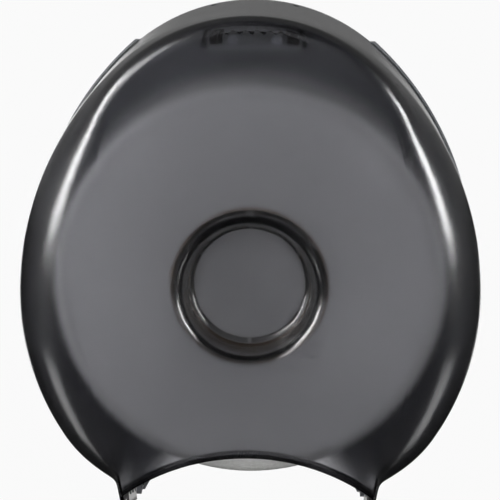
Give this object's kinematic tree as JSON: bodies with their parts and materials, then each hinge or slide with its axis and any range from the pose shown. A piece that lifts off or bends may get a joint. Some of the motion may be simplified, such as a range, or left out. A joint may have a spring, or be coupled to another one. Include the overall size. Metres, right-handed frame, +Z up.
{
  "type": "jumbo toilet roll dispenser",
  "caption": "Wall dispenser for a large toilet roll: back plate, turning hub on a post, and a smoke translucent arched cover that hinges down and latches at the top.",
  "frame": {"origin": "on the wall plane, where the roll's axis meets it, in the middle of the four wall screws", "axes": "+Z up, +X to the right seen from the front, -Y out of the wall towards the user"},
  "size_m": [0.2716, 0.146, 0.3095],
  "materials": {
    "smoke_cover": "translucent smoke, polished outside, fine haze",
    "plate_plastic": "light grey moulding, fine texture",
    "hub_plastic": "grey moulding",
    "bush_plastic": "white bearing plastic",
    "lock_plastic": "dark grey moulding",
    "latch_black": "black moulding",
    "spring_steel": "blackened strip",
    "pin_black": "black pin",
    "tear_steel": "stamped stainless strip",
    "plain_steel": "zinc plated",
    "brake_felt": "pressed felt",
    "bumper_rubber": "soft rubber",
    "core_board": "spiral wound board",
    "tissue_paper": "soft two-ply tissue"
  },
  "bodies": {
    "base": {"back_plate": "plate_plastic", "cover_bumpers": "bumper_rubber", "hinge_pin_left": "pin_black", "hinge_pin_right": "pin_black", "hinge_washers": "bush_plastic", "hinge_clips": "plain_steel", "spindle_post": "plate_plastic", "spindle_screws": "plain_steel", "brake_washer": "brake_felt", "hub_washer": "plain_steel", "hub_screw": "plain_steel", "lock_body": "lock_plastic", "lock_screws": "plain_steel", "latch_spring": "spring_steel"},
    "cover": {"front_cover": "smoke_cover", "strike_brackets": "smoke_cover", "tear_bar_left": "tear_steel", "tear_bar_right": "tear_steel", "tear_bar_pins": "plain_steel"},
    "roll": {"hub_bushes": "bush_plastic", "roll_hub": "hub_plastic", "core_adapter": "hub_plastic", "hub_cap": "hub_plastic", "roll_core": "core_board", "paper_roll": "tissue_paper"},
    "latch_left": {"latch_finger_left": "latch_black"},
    "latch_right": {"latch_finger_right": "latch_black"}
  },
  "joints": [
    {"name": "cover_hinge", "type": "hinge", "parent": "base", "child": "cover", "pos_m": [0, -0.013, -0.146], "axis": [1, 0, 0], "range_deg": [0, 95]},
    {"name": "roll_spin", "type": "hinge", "parent": "base", "child": "roll", "pos_m": [0, -0.07, 0], "axis": [0, 1, 0], "continuous": true},
    {"name": "latch_left", "type": "slide", "parent": "base", "child": "latch_left", "axis": [-1, 0, 0], "range_m": [0, 0.004], "deforming": ["latch_spring"]},
    {"name": "latch_right", "type": "slide", "parent": "base", "child": "latch_right", "axis": [1, 0, 0], "range_m": [0, 0.004]}
  ],
  "couplings": [
    {"joint": "latch_right", "follows": "latch_left", "ratio": 1}
  ]
}
